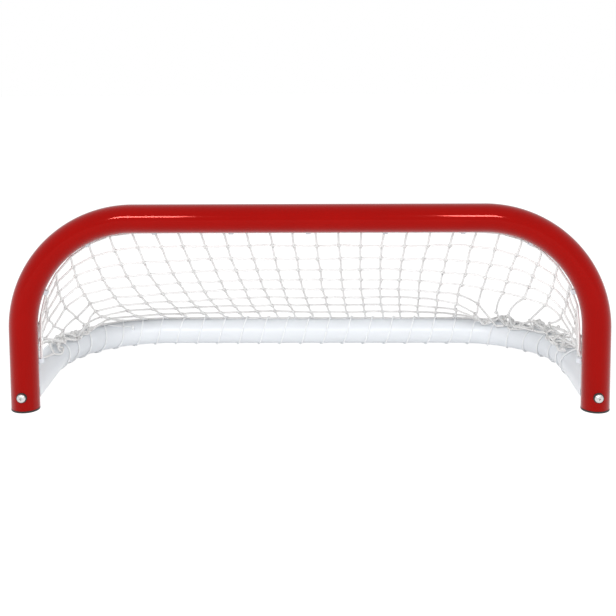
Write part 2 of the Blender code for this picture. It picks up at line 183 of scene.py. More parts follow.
def bent_tube(name, foot, up, leg, radius):
    """Leg, bend, bar, bend and leg of tube: a ring that is pushed along and spun round the two bends."""
    bar = 2 * (POST_X - radius)
    deselect()
    bpy.ops.mesh.primitive_circle_add(
        vertices=TUBE_SIDES,
        radius=TUBE_RADIUS,
        location=foot,
        rotation=up.to_track_quat("Z", "Y").to_euler(),
    )
    tube = settle()
    tube.name = tube.data.name = name
    bend_axis = Vector((1, 0, 0)).cross(up)
    bpy.ops.object.mode_set(mode="EDIT")
    bpy.ops.mesh.select_all(action="SELECT")
    bpy.ops.mesh.extrude_region_move(TRANSFORM_OT_translate={"value": up * leg})
    for centre_x, push in ((-POST_X + radius, Vector((bar, 0, 0))), (POST_X - radius, -up * leg)):
        bpy.ops.mesh.spin(
            steps=BEND_STEPS,
            angle=math.pi / 2,
            center=Vector((centre_x, foot.y, foot.z)) + up * leg,
            axis=bend_axis,
        )
        bpy.ops.mesh.extrude_region_move(TRANSFORM_OT_translate={"value": push})
    bpy.ops.mesh.select_all(action="SELECT")
    bpy.ops.mesh.remove_doubles(threshold=1e-6)
    bpy.ops.mesh.normals_make_consistent(inside=False)
    bpy.ops.object.mode_set(mode="OBJECT")
    shape(tube, "SOLIDIFY", thickness=TUBE_WALL, offset=-1, use_even_offset=True)
    return tube


def smooth(piece, angle=ROUND_ANGLE):
    """Smooth shading, with the edges that turn more than the angle left sharp."""
    take(piece)
    bpy.ops.object.shade_smooth_by_angle(angle=angle)


def u_point(distance, height, radius):
    """Along a U of tube: x and the height up the legs there, and the direction of travel in those terms."""
    leg = height - radius
    bend = radius * math.pi / 2
    half = leg + bend + POST_X - radius
    if distance > half:
        x, rise, along_x, along_rise = u_point(2 * half - distance, height, radius)
        return -x, rise, along_x, -along_rise
    if distance <= leg:
        return -POST_X, distance, 0.0, 1.0
    if distance <= leg + bend:
        turn = (distance - leg) / radius
        x = -POST_X + radius * (1 - math.cos(turn))
        return x, leg + radius * math.sin(turn), math.sin(turn), math.cos(turn)
    return distance - half, height, 1.0, 0.0


def u_length(height, radius):
    """The whole length of such a U."""
    return 2 * (height - radius + radius * math.pi / 2 + POST_X - radius)


ARCH_HEIGHT = ARCH_TOP - ARCH_FOOT
ARCH_LENGTH = u_length(ARCH_HEIGHT, ARCH_BEND)


def clip_place(clip):
    """A clip's own frame: origin on the tube's axis, Y along the tube and Z out through the clip.

    A number between two clips gives the frame of the place between them.
    """
    distance = ARCH_LENGTH / 2 + (clip - (CLIPS - 1) / 2) * CLIP_SPACING
    x, rise, along_x, along_rise = u_point(distance, ARCH_HEIGHT, ARCH_BEND)
    along = Vector((along_x, 0, along_rise))
    inward = Vector((along_rise, 0, -along_x))
    out = Vector((0, 1, 0)) * math.cos(CLIP_LEAN) + inward * math.sin(CLIP_LEAN)
    place = Matrix((along.cross(out), along, out)).transposed().to_4x4()
    place.translation = Vector((x, ARCH_Y, ARCH_FOOT + rise))
    return place


def round_a_rim(mesh, edge):
    """Whether an edge runs round the bore or the outside at one of the tube's two ends."""
    ends = [mesh.vertices[vertex].co for vertex in edge.vertices]
    from_axis = {round((end.xy - Vector((math.copysign(POST_X, end.x), ARCH_Y))).length, 4) for end in ends}
    return all(end.z < ARCH_FOOT + RIM_EDGE / 2 for end in ends) and len(from_axis) == 1


def bolt_place(side):
    """Where a bolt crosses its post's axis: side is -1 on the left and 1 on the right."""
    return Vector((side * POST_X, ARCH_Y, BASE_Z))


left_foot = Vector((-POST_X, ARCH_Y, ARCH_FOOT))
arch = bent_tube("arch_tube", left_foot, Vector((0, 0, 1)), ARCH_HEIGHT - ARCH_BEND, ARCH_BEND)
take(arch)
bpy.ops.object.mode_set(mode="EDIT")
pick("edges", round_a_rim)
bpy.ops.mesh.bevel(offset=RIM_EDGE, segments=3, affect="EDGES")
bpy.ops.object.mode_set(mode="OBJECT")
drills = []
through = Vector((0, 2 * TUBE_RADIUS, 0))
for side in (-1, 1):
    drills.append(rod(bolt_place(side) - through, bolt_place(side) + through, BOLT_HOLE))
start, end = Vector((0, 0, TUBE_RADIUS / 2)), Vector((0, 0, 2 * TUBE_RADIUS))
for clip in range(CLIPS):
    drills.append(rod(clip_place(clip) @ start, clip_place(clip) @ end, PEG_HOLE))
cut(arch, joined(drills))
smooth(arch)


def linear(colour):
    """An sRGB hex colour as linear values."""
    parts = [int(colour[i : i + 2], 16) / 255 for i in (0, 2, 4)]
    return [p / 12.92 if p <= 0.04045 else ((p + 0.055) / 1.055) ** 2.4 for p in parts] + [1]


def new_material(name):
    """An empty material and its node tree."""
    material = bpy.data.materials.new(name)
    material.use_nodes = True
    material.node_tree.nodes.clear()
    return material, material.node_tree


def add_node(tree, kind, values=None, links=None, **settings):
    """A node with its settings, its sockets' values, and links into its sockets."""
    node = tree.nodes.new(kind)
    for name, value in settings.items():
        setattr(node, name, value)
    for socket, value in (values or {}).items():
        node.inputs[socket].default_value = value
    for socket, source in (links or {}).items():
        tree.links.new(source, node.inputs[socket])
    return node


def noise(tree, size, detail, roughness=0.5):
    """Noise through the whole piece, in its own coordinates, with grains of the given size."""
    place = add_node(tree, "ShaderNodeTexCoord").outputs["Object"]
    values = {"Scale": 1 / size, "Detail": detail, "Roughness": roughness}
    return add_node(tree, "ShaderNodeTexNoise", values, {"Vector": place}).outputs["Fac"]


def value_between(tree, share, low, high, start=0.0, end=1.0):
    """A value that goes from low to high as the share goes from start to end."""
    values = {"From Min": start, "From Max": end, "To Min": low, "To Max": high}
    return add_node(tree, "ShaderNodeMapRange", values, {"Value": share}).outputs["Result"]


def colour_between(tree, share, first, second):
    """A colour that goes from one sRGB hex colour to another as the share goes from 0 to 1."""
    values = {6: linear(first), 7: linear(second)}
    return add_node(tree, "ShaderNodeMix", values, {0: share}, data_type="RGBA").outputs[2]


def relief(tree, height, strength, depth):
    """The surface's direction where small heights and hollows turn it."""
    values = {"Strength": strength, "Distance": depth}
    return add_node(tree, "ShaderNodeBump", values, {"Height": height}).outputs["Normal"]


def surface(tree, values, links):
    """The one shader of a piece's material, and the output that it goes to."""
    shader = add_node(tree, "ShaderNodeBsdfPrincipled", values, links)
    add_node(tree, "ShaderNodeOutputMaterial", links={"Surface": shader.outputs["BSDF"]})


def give(piece, material, slot, *nodes):
    """The piece takes a material, rides on the goal's one body, and stands for its CAD nodes."""
    piece.data.materials.clear()
    piece.data.materials.append(material)
    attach(piece, "root")
    if nodes:
        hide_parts(*nodes)


def powder_coat(name, colour, shade, tint_of_gloss, roughness, worn):
    """A baked polyester powder coat: hard and even, with a fine orange peel where the powder flowed.

    The peel's waves are about 2 mm across, so a highlight on it is a little ragged.
    """
    material, tree = new_material(name)
    peel = noise(tree, 2.2 * MM, 1.0, 0.4)
    patches = noise(tree, 45 * MM, 4.0, 0.6)
    surface(
        tree,
        {"IOR": 1.5, "Specular Tint": linear(tint_of_gloss)},
        {
            "Base Color": colour_between(tree, patches, colour, shade),
            "Roughness": value_between(tree, patches, roughness, worn, 0.3, 0.7),
            "Normal": relief(tree, peel, 0.25, 0.02 * MM),
        },
    )
    return material


red_powder_coat = powder_coat("red powder coat", "980200", "8D0100", "FF7870", 0.06, 0.09)
give(arch, red_powder_coat, "red_paint", "front_arch")

# Base tube
# The same tube bent flat into a U that lies behind the posts, white powder coated. Its ends are coped to
# the posts' round and butt against them, and the bolts hold it there.
BASE_BEND = 195 * MM
BASE_DEPTH = 381 * MM
FIT = 0.3 * MM


def post_tool(side):
    """A rod round a post's axis, a little wider than the post, to hollow what sits against it."""
    height = Vector((0, 0, 2 * TUBE_RADIUS))
    return rod(bolt_place(side) - height, bolt_place(side) + height, TUBE_RADIUS + FIT, TUBE_SIDES)


base = bent_tube("base_tube", bolt_place(-1), Vector((0, 1, 0)), BASE_DEPTH - BASE_BEND, BASE_BEND)
cut(base, joined([post_tool(-1), post_tool(1)]))
smooth(base)
white_powder_coat = powder_coat("white powder coat", "E8ECF0", "E4E8ED", "FFFFFF", 0.30, 0.36)
give(base, white_powder_coat, "white_paint", "base_frame")

# Foot caps
# Black polyethylene caps pushed into the posts' lower ends, with a rim that the goal stands on. The hollow
# stem has three thin fins that grip the bore.
CAP_SIDES = 96
CAP_RIM = 3.2 * MM
CAP_EDGE = 1.1 * MM
CAP_STEM = 13 * MM
CAP_WALL = 2.2 * MM
FINS = 3
FIRST_FIN = 0.6
FIN_HEIGHT = 1.2 * MM
FIN_DEPTH = 0.6 * MM


def turned(name, sides, profile, place=Vector(), facing=Vector((0, 0, 1))):
    """A round piece drawn from ring to ring, each of a radius and a height, and closed at both ends."""
    deselect()
    bpy.ops.mesh.primitive_circle_add(vertices=sides, radius=profile[0][0], fill_type="NGON")
    piece = bpy.context.object
    piece.name = piece.data.name = name
    bpy.ops.object.mode_set(mode="EDIT")
    bpy.ops.mesh.select_all(action="SELECT")
    bpy.ops.transform.translate(value=(0, 0, profile[0][1]))
    for (before, low), (after, high) in zip(profile, profile[1:]):
        bpy.ops.mesh.extrude_region_move(TRANSFORM_OT_translate={"value": (0, 0, high - low)})
        if before != after:
            ratio = after / before
            bpy.ops.transform.resize(value=(ratio, ratio, 1), center_override=(0, 0, high))
    bpy.ops.mesh.select_all(action="SELECT")
    bpy.ops.mesh.normals_make_consistent(inside=False)
    bpy.ops.object.mode_set(mode="OBJECT")
    piece.rotation_euler = facing.to_track_quat("Z", "Y").to_euler()
    piece.location = place
    return settle()


def cap_profile():
    """From the rim's underside up the outside of the stem, over its lip and down inside it."""
    stem = TUBE_RADIUS - TUBE_WALL - FIT - FIN_DEPTH
    profile = [(TUBE_RADIUS - CAP_EDGE, 0)]
    for turn in (30, 60, 90):
        way = math.radians(turn)
        profile.append((TUBE_RADIUS - CAP_EDGE * (1 - math.sin(way)), CAP_EDGE * (1 - math.cos(way))))
    profile += [(TUBE_RADIUS, CAP_RIM), (stem, CAP_RIM)]
    for fin in range(FINS):
        foot = CAP_RIM + (fin + FIRST_FIN) * CAP_STEM / FINS
        profile += [(stem, foot), (stem + FIN_DEPTH, foot + FIN_HEIGHT / 2), (stem, foot + FIN_HEIGHT)]
    lip = CAP_RIM + CAP_STEM
    profile += [(stem, lip), (stem - CAP_WALL, lip), (stem - CAP_WALL, CAP_RIM)]
    return profile


def polyethylene():
    """Injection moulded black polyethylene: a waxy, soft sheen, with a fine grain from the mould."""
    material, tree = new_material("moulded black polyethylene")
    grain = noise(tree, 0.8 * MM, 3.0)
    surface(
        tree,
        {"Base Color": linear("1F1D1C"), "IOR": 1.51},
        {
            "Roughness": value_between(tree, grain, 0.42, 0.58),
            "Normal": relief(tree, grain, 0.4, 0.03 * MM),
        },
    )
    return material


black_polyethylene = polyethylene()
for side, name in ((-1, "left"), (1, "right")):
    cap = turned(f"foot_plug_{name}", CAP_SIDES, cap_profile(), Vector((side * POST_X, ARCH_Y, 0)))
    smooth(cap)
    give(cap, black_polyethylene, "black_plastic", f"foot_cap_{name}")

# Bolts and their washers
# A pan-head machine screw with a cross recess goes through each post into the base tube's end. It is zinc
# plated, and a thin black washer, hollowed to sit on the post's round, keeps it off the paint.
BOLT_SIDES = 48
BOLT_RADIUS = 4 * MM
BOLT_LENGTH = 72 * MM
BOLT_TIP = 0.8 * MM
HEAD_RADIUS = 7.25 * MM
HEAD_HEIGHT = 4.6 * MM
HEAD_RIM = 1.5 * MM
HEAD_STEPS = 8
HEAD_ARC = math.radians(63)
THREAD_LENGTH = 30 * MM
THREAD_PITCH = 1.25 * MM
THREAD_DEPTH = 0.45 * MM
RECESS_SPAN = 6.6 * MM
RECESS_WIDTH = 1.4 * MM
RECESS_DEPTH = 2.6 * MM
RECESS_TAPER = 0.55
WASHER_RADIUS = 8.75 * MM
WASHER_THICKNESS = 1.4 * MM
WASHER_EDGE = 0.35 * MM
HEAD_SEAT = TUBE_RADIUS + WASHER_THICKNESS + 2 * FIT
TO_PLAYER = Vector((0, -1, 0))


def bolt_profile():
    """From the tip up the thread and the shank, and over the domed head."""
    bottom = BOLT_TIP - BOLT_LENGTH
    core = BOLT_RADIUS - THREAD_DEPTH
    profile = [(BOLT_RADIUS - BOLT_TIP, -BOLT_LENGTH), (core, bottom)]
    for thread in range(int(THREAD_LENGTH / THREAD_PITCH)):
        root = bottom + thread * THREAD_PITCH
        profile += [(BOLT_RADIUS, root + THREAD_PITCH / 2), (core, root + THREAD_PITCH)]
    profile += [(BOLT_RADIUS, profile[-1][1] + THREAD_PITCH), (BOLT_RADIUS, 0), (HEAD_RADIUS, 0)]
    for step in range(HEAD_STEPS + 1):
        turn = step / HEAD_STEPS * HEAD_ARC
        dome = (HEAD_HEIGHT - HEAD_RIM) * math.sin(turn) / math.sin(HEAD_ARC)
        profile.append((HEAD_RADIUS * math.cos(turn), HEAD_RIM + dome))
    return profile


def recess_tool(place):
    """Two crossed wedges that narrow towards the bottom of the recess."""
    wings = []
    for wide, deep in ((RECESS_SPAN, RECESS_WIDTH), (RECESS_WIDTH, RECESS_SPAN)):
        wing = block((0, 0, 0), (wide, deep, 2 * RECESS_DEPTH))
        bpy.ops.object.mode_set(mode="EDIT")
        pick("polygons", lambda mesh, face: face.normal.z < -0.5)
        narrower = (RECESS_TAPER, RECESS_TAPER, 1)
        bpy.ops.transform.resize(value=narrower, center_override=(0, 0, -RECESS_DEPTH))
        bpy.ops.object.mode_set(mode="OBJECT")
        wings.append(wing)
    cut(wings[0], wings[1], "UNION")
    take(wings[0])
    wings[0].rotation_euler = TO_PLAYER.to_track_quat("Z", "Y").to_euler()
    wings[0].location = place
    return settle()


def zinc_plate():
    """Bright zinc plating on steel: clear, bluish and slightly cloudy, with fine marks from drawing."""
    material, tree = new_material("bright zinc plated steel")
    clouds = noise(tree, 4 * MM, 5.0)
    marks = noise(tree, 0.35 * MM, 2.0)
    surface(
        tree,
        {"Metallic": 1.0},
        {
            "Base Color": colour_between(tree, clouds, "D4D6DA", "C3C1BA"),
            "Roughness": value_between(tree, clouds, 0.22, 0.38),
            "Normal": relief(tree, marks, 0.25, 0.01 * MM),
        },
    )
    return material


zinc = zinc_plate()
for side, name in ((-1, "left"), (1, "right")):
    post = bolt_place(side)
    bolt = turned(f"bolt_{name}", BOLT_SIDES, bolt_profile(), post + HEAD_SEAT * TO_PLAYER, TO_PLAYER)
    cut(bolt, recess_tool(post + (HEAD_SEAT + HEAD_HEIGHT) * TO_PLAYER))
    smooth(bolt)
    give(bolt, zinc, "zinc_steel", f"post_bolt_{name}")
    back = HEAD_SEAT - FIT - TUBE_RADIUS
    washer = turned(
        f"washer_{name}",
        BOLT_SIDES,
        [
            (WASHER_RADIUS, 0),
            (WASHER_RADIUS, TUBE_RADIUS - WASHER_EDGE),
            (WASHER_RADIUS - WASHER_EDGE, TUBE_RADIUS),
        ],
        post + back * TO_PLAYER,
        TO_PLAYER,
    )
    cut(washer, rod(post, post + 2 * TUBE_RADIUS * TO_PLAYER, BOLT_HOLE))
    cut(washer, post_tool(side))
    smooth(washer)
    give(washer, black_polyethylene, "black_plastic", f"saddle_washer_{name}")
    for kept in (f"end_plug_{name}", f"plug_nut_{name}"):
        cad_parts[kept].data.materials.clear()
        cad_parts[kept].data.materials.append(zinc)

# Net clips
# Moulded nylon snap clips on barbed pegs, pushed into holes behind the arch towards its inside. Each one is
# a short split ring on a foot hollowed to the tube's round, and the net's top cord is snapped into it.
CLIP_LENGTH = 8 * MM
CLIP_WIDTH = 9 * MM
CLIP_WALL = 1.6 * MM
CLIP_BORE = 2.3 * MM
CLIP_EDGE = 0.35 * MM
CLIP_EDGE_ANGLE = math.radians(40)
CLIP_MOUTH = math.radians(60)
TOP_CORD_RADIUS = 29.5 * MM
PEG_RADIUS = 2.7 * MM
PEG_BARB = 3.4 * MM
PEG_TIP = 1.6 * MM
PEG_STEP = 0.2 * MM
PEG_DEPTH = 5.2 * MM


def snap_clip():
    """A clip at the origin of its own frame: the tube's axis is Y and the clip points along Z."""
    half = Vector((0, CLIP_LENGTH / 2, 0))
    centre = Vector((0, 0, TOP_CORD_RADIUS))
    ring = rod(centre - half, centre + half, CLIP_BORE + CLIP_WALL, BOLT_SIDES)
    foot_height = TOP_CORD_RADIUS - TUBE_RADIUS
    foot_centre = (0, 0, TUBE_RADIUS + foot_height / 2 - CLIP_WALL / 2)
    foot = block(foot_centre, (CLIP_WIDTH, CLIP_LENGTH, foot_height))
    bpy.ops.object.mode_set(mode="EDIT")
    pick("polygons", lambda mesh, face: face.normal.z > 0.5)
    bpy.ops.transform.resize(value=(2 * (CLIP_BORE + CLIP_WALL) / CLIP_WIDTH, 1, 1))
    bpy.ops.object.mode_set(mode="OBJECT")
    cut(foot, rod(-2 * half, 2 * half, TUBE_RADIUS + FIT / 3, TUBE_SIDES))
    cut(ring, foot, "UNION")
    cut(ring, rod(centre - 2 * half, centre + 2 * half, CLIP_BORE))
    reach = 3 * CLIP_BORE
    mouth = (2 * CLIP_BORE * math.sin(CLIP_MOUTH / 2), 2 * CLIP_LENGTH, reach)
    cut(ring, block(centre + Vector((0, 0, reach / 2)), mouth))
    shape(ring, "BEVEL", width=CLIP_EDGE, segments=2, limit_method="ANGLE", angle_limit=CLIP_EDGE_ANGLE)
    barb = TUBE_RADIUS - TUBE_WALL - 2 * FIT
    peg = turned(
        "peg",
        HOLE_SIDES,
        [
            (PEG_TIP, TUBE_RADIUS - PEG_DEPTH),
            (PEG_BARB, barb),
            (PEG_RADIUS, barb + PEG_STEP),
            (PEG_RADIUS, TUBE_RADIUS + foot_height / 3),
        ],
    )
    cut(ring, peg, "UNION")
    return ring


def moulded_nylon():
    """Injection moulded white nylon: a little see-through at thin places, with a soft even sheen."""
    material, tree = new_material("moulded white nylon")
    grain = noise(tree, 0.6 * MM, 2.0)
    surface(
        tree,
        {
            "Base Color": linear("DCE2E8"),
            "IOR": 1.53,
            "Subsurface Weight": 0.15,
            "Subsurface Radius": (1.0, 0.9, 0.8),
            "Subsurface Scale": 1.5 * MM,
        },
        {
            "Roughness": value_between(tree, grain, 0.36, 0.46),
            "Normal": relief(tree, grain, 0.2, 0.02 * MM),
        },
    )
    return material


nylon = moulded_nylon()
first_clip = snap_clip()
for clip in range(CLIPS):
    copy = bpy.data.objects.new(f"clip_{clip + 1:02}", first_clip.data.copy())
    bpy.context.scene.collection.objects.link(copy)
    copy.data.transform(clip_place(clip))
    smooth(copy)
    give(copy, nylon, "white_nylon", f"net_clip_{clip + 1:02}")
bpy.data.objects.remove(first_clip)

# Net
# A knotted net of white twisted polyester cord 4 mm thick, in 32 by 9 meshes. It hangs from its top cord in
# the clips to its foot cord on the base tube. It was laced a little to the right of where it hangs, so its
# cords lean, and its spare cord lies heaped along the foot at both ends.
CORD_RADIUS = 2.0 * MM
MESHES_ACROSS = 32
MESHES_DEEP = 9
TOP_MESH = 38.5 * MM
TOP_MIDDLE = 12 * MM
TOP_END_HEIGHT = 62 * MM
TOP_END_BEHIND = 29 * MM
BEND_CLIPS = (0, 1, 2, CLIPS - 4, CLIPS - 3, CLIPS - 2)
BEND_SHARES = (0.2, 0.4, 0.6, 0.8)
FOOT_COLUMNS = (0, 9, 24, 32)
FOOT_PLACES = (196 * MM, 570 * MM, 1098 * MM, 1368 * MM)
FOOT_CORD_RADIUS = TUBE_RADIUS + CORD_RADIUS + FIT
# How steeply the columns leave the top cord, how far out their bends are drawn, and how they bow aside
FALL = 0.85
FALL_MORE_LEFT = 0.30
FALL_MORE_RIGHT = 0.52
FALL_LEFT_END = (0.1, 0.4)
FALL_RIGHT_START = (0.6, 0.9)
FALL_REACH = 0.84
LEAST_REACH = 4 * MM
OVER_FOOT = 6 * MM
DRAWN_OUT_LEFT = 38 * MM
DRAWN_OUT_RIGHT = 21 * MM
DRAWN_LEFT_END = (0.08, 0.22)
DRAWN_RIGHT_START = (0.78, 0.92)
BOW_MIDDLE = -2 * MM
BOW_RIGHT = -9 * MM
BOW_START = (0.05, 0.3)
BOW_RIGHT_START = (0.5, 0.65)
BOW_END = (0.8, 0.95)
CORNER_COLUMN = 4.5
CORNER_WIDTH = 2
CORNER_CLOSER = 0.4
# How far the knots stray from those curves, and the cords from the straight way between two knots
STRAY = 0.7 * MM
WAVE = 0.7 * MM
WAVE_RIGHT = 1.5 * MM
WAVE_RIGHT_START = (0.6, 0.75)
WAVE_UP = 0.8
WAVE_SPREAD = 0.6
WAVE_MOST = 1.6
# Where the columns of the two heaps lie along the base tube, and how the cord in them is folded
HEAP_COLUMNS = (0, 2, 4, 6, 23, 24, 26, 28, 32)
HEAP_PLACES = [place * MM for place in (190, 240, 320, 400, 1080, 1120, 1180, 1245, 1385)]
HEAP_LEFT_END = (2.5, 6.0)
HEAP_LEFT_ROWS = (3.6, 6.0)
HEAP_LEFT_SHARE = 0.85
HEAP_RIGHT_START = (22.6, 25.6)
HEAP_RIGHT_ROWS = (4.0, 5.5)
HEAP_WAVE = 11 * MM
HEAP_ALONG = 10 * MM
HEAP_HEIGHT = 7 * MM
HEAP_REACH = TUBE_RADIUS + 15 * MM
HEAP_SURE = 0.5
HEAP_MOST = 1.3
HEAP_ANGLE = math.radians(20)
HEAP_SPREAD = math.radians(30)
# The cords' and knots' own forms
CORD_SIDES = 8
CORD_ROUND = math.radians(80)
NO_CORDS_WAY = (0.31, 0.57, 0.76)
STRAND_STEPS = 6
COLUMN_STEPS = 60
KNOT_LONG = 2.875 * MM
KNOT_HIGH = 1.875 * MM
KNOT_CORD = 0.85 * CORD_RADIUS
KNOT_STEPS = 10
KNOT_SIDES = 6
TWIST_PITCH = 4.5 * MM
PLIES = 3

chance = np.random.default_rng(seed=7)


def along_line(points, distances):
    """Places at the given distances along a line of points."""
    steps = np.r_[0, np.cumsum(np.linalg.norm(np.diff(points, axis=0), axis=1))]
    return np.stack([np.interp(distances, steps, points[:, k]) for k in range(3)], axis=1)


def top_cord_line():
    """The top cord's line: from clip to clip over the bar, round the bends and down behind the posts."""
    line = []
    for clip in range(CLIPS):
        for end in (-1, 1):
            line.append(clip_place(clip) @ Vector((0, end * CLIP_LENGTH / 2, TOP_CORD_RADIUS)))
        if clip in BEND_CLIPS:
            for share in BEND_SHARES:
                line.append(clip_place(clip + share) @ Vector((0, 0, TOP_CORD_RADIUS)))
    behind = ARCH_Y + TOP_END_BEHIND
    return np.array([(-POST_X, behind, TOP_END_HEIGHT)] + line + [(POST_X, behind, TOP_END_HEIGHT)])


def foot_point(distance):
    """Where the foot cord's line is on top of the base tube, at a distance along it."""
    x, back = u_point(distance, BASE_DEPTH, BASE_BEND)[:2]
    return np.array((x, ARCH_Y + back, BASE_Z + FOOT_CORD_RADIUS))


def ease(start, end, value):
    """0 before start, 1 after end, and a smooth change between."""
    share = np.clip((value - start) / (end - start), 0, 1)
    return share * share * (3 - 2 * share)


def off_tube(points, least, most, flat):
    """Points are moved straight out from a bent tube's axis, or in to it, to lie between two distances."""
    height, radius, plane = (BASE_DEPTH, BASE_BEND, BASE_Z) if flat else (ARCH_HEIGHT, ARCH_BEND, ARCH_Y)
    rise = points[:, 1] - ARCH_Y if flat else points[:, 2] - ARCH_FOOT
    beside = points[:, 2 if flat else 1] - plane
    x, side = np.abs(points[:, 0]), np.sign(points[:, 0])
    centre, leg = POST_X - radius, height - radius
    near_x = np.where(rise < leg, POST_X, np.minimum(x, centre))
    near_rise = np.where(rise < leg, np.clip(rise, 0, leg), height)
    turning = (rise >= leg) & (x > centre)
    reach = np.maximum(np.hypot(x - centre, rise - leg), MM)
    near_x = np.where(turning, centre + (x - centre) * radius / reach, near_x)
    near_rise = np.where(turning, leg + (rise - leg) * radius / reach, near_rise)
    away = np.stack([x - near_x, rise - near_rise, beside], axis=1)
    far = np.linalg.norm(away, axis=1, keepdims=True)
    away *= np.clip(far, least, most) / np.maximum(far, MM)
    moved_x, moved_rise = (near_x + away[:, 0]) * side, near_rise + away[:, 1]
    if flat:
        return np.stack([moved_x, moved_rise + ARCH_Y, plane + away[:, 2]], axis=1)
    return np.stack([moved_x, plane + away[:, 2], moved_rise + ARCH_FOOT], axis=1)


def clear_of_tubes(points, most=math.inf):
    """Points of a cord are moved clear of both tubes and of the floor.

    They also come no farther from the base tube's axis than most, which may be one distance for each point.
    """
    least = TUBE_RADIUS + CORD_RADIUS + FIT / 2
    points = off_tube(off_tube(points, least, most, flat=True), least, math.inf, flat=False)
    points[:, 2] = np.maximum(points[:, 2], CORD_RADIUS)
    return points


def heaped(column, row):
    """How far a place belongs to the spare cord heaped along the foot at both ends, from 0 to 1."""
    right = ease(*HEAP_RIGHT_START, column) * ease(*HEAP_RIGHT_ROWS, row)
    left = HEAP_LEFT_SHARE * (1 - ease(*HEAP_LEFT_END, column)) * ease(*HEAP_LEFT_ROWS, row)
    return max(right, left)


def round_base(distance, angle, radius):
    """A place round the base tube: the angle starts on top and goes down the inner side."""
    x, back, along_x, along_back = u_point(distance, BASE_DEPTH, BASE_BEND)
    inward = np.array((along_back, -along_x, 0))
    axis = np.array((x, ARCH_Y + back, BASE_Z))
    return axis + radius * (np.array((0, 0, math.cos(angle))) + inward * math.sin(angle))


def heap_place(column):
    """A place in the heap of spare cord, on the base tube's top and a little down its inner side."""
    along, turn, high = np.clip(chance.normal(size=3), -HEAP_MOST, HEAP_MOST)
    distance = np.interp(column, HEAP_COLUMNS, HEAP_PLACES)
    radius = FOOT_CORD_RADIUS + 2 * CORD_RADIUS + HEAP_HEIGHT * abs(high)
    return round_base(distance + HEAP_ALONG * along, HEAP_ANGLE + HEAP_SPREAD * turn, radius)


def net_knots():
    """Where the net's knots are: columns from the left post round to the right, rows from the top down.

    Each column leaves the top cord at about the same slope and comes down to its foot in one curve. The end
    columns fall more steeply and are drawn outward. A pair of shares says between which places along the
    goal, from 0 at the left to 1 at the right, such a change comes or goes.
    """
    line = top_cord_line()
    whole = np.linalg.norm(np.diff(line, axis=0), axis=1).sum()
    columns = np.arange(MESHES_ACROSS + 1)
    tops = along_line(line, whole / 2 + TOP_MIDDLE + (columns - MESHES_ACROSS / 2) * TOP_MESH)
    feet = [foot_point(place) for place in np.interp(columns, FOOT_COLUMNS, FOOT_PLACES)]
    knots = np.zeros((MESHES_ACROSS + 1, MESHES_DEEP + 1, 3))
    way = np.linspace(0, 1, COLUMN_STEPS)[:, None]
    rows = np.arange(MESHES_DEEP + 1) / MESHES_DEEP
    for column, (top, foot) in enumerate(zip(tops, feet)):
        side = column / MESHES_ACROSS
        fall = FALL + FALL_MORE_LEFT * (1 - ease(*FALL_LEFT_END, side))
        fall += FALL_MORE_RIGHT * ease(*FALL_RIGHT_START, side)
        run = foot[1] - top[1]
        reach = min(run / 2 * FALL_REACH, max(LEAST_REACH, (top[2] - foot[2] - OVER_FOOT) / fall))
        outward = DRAWN_OUT_RIGHT * ease(*DRAWN_RIGHT_START, side)
        outward -= DRAWN_OUT_LEFT * (1 - ease(*DRAWN_LEFT_END, side))
        bend = top + np.array(((foot[0] - top[0]) * reach / run + outward, reach, -fall * reach))
        curve = (1 - way) ** 2 * top + 2 * way * (1 - way) * bend + way**2 * foot
        right = ease(*BOW_RIGHT_START, side)
        bow = BOW_MIDDLE * ease(*BOW_START, side) * (1 - right)
        bow += BOW_RIGHT * right * (1 - ease(*BOW_END, side))
        curve[:, 0] += (bow * 4 * way * (1 - way))[:, 0]
        length = np.linalg.norm(np.diff(curve, axis=0), axis=1).sum()
        from_side = min(column, MESHES_ACROSS - column)
        closer = 1 - CORNER_CLOSER * math.exp(-(((from_side - CORNER_COLUMN) / CORNER_WIDTH) ** 2))
        knots[column] = along_line(curve, length * (1 - (1 - rows) ** closer))
    stray = chance.normal(size=knots.shape)
    for column in range(MESHES_ACROSS + 1):
        for row in range(1, MESHES_DEEP):
            share = heaped(column, row)
            settled = knots[column, row] * (1 - share) + heap_place(column) * share
            knots[column, row] = settled + stray[column, row] * STRAY
    return clear_of_tubes(knots.reshape(-1, 3)).reshape(knots.shape)


def strands(line, waves, places):
    """A cord from knot to knot, with a small wave or a loose fold between each two."""
    points, most = [line[0]], [math.inf]
    for here, there, wave, (column, row) in zip(line, line[1:], waves, places):
        way = there - here
        wave = wave - way * (wave @ way) / max(np.linalg.norm(way), MM) ** 2
        for step in range(1, STRAND_STEPS + 1):
            share = step / STRAND_STEPS
            points.append(here + way * share + wave * 4 * share * (1 - share))
            most.append(HEAP_REACH if heaped(column, row) > HEAP_SURE else math.inf)
    return clear_of_tubes(np.array(points), np.array(most)[:, None])


def cord_waves(places):
    """How far each stretch of a cord stands out of its straight line, and which way."""
    waves = np.clip(chance.normal(size=(len(places), 3)), -WAVE_MOST, WAVE_MOST) * WAVE_SPREAD
    for wave, (column, row) in zip(waves, places):
        loose = heaped(column, row)
        right = ease(*WAVE_RIGHT_START, column / MESHES_ACROSS) * (1 - loose)
        wave *= WAVE + WAVE_RIGHT * right + HEAP_WAVE * loose
        wave[2] += WAVE_UP * WAVE_RIGHT * right
    return waves


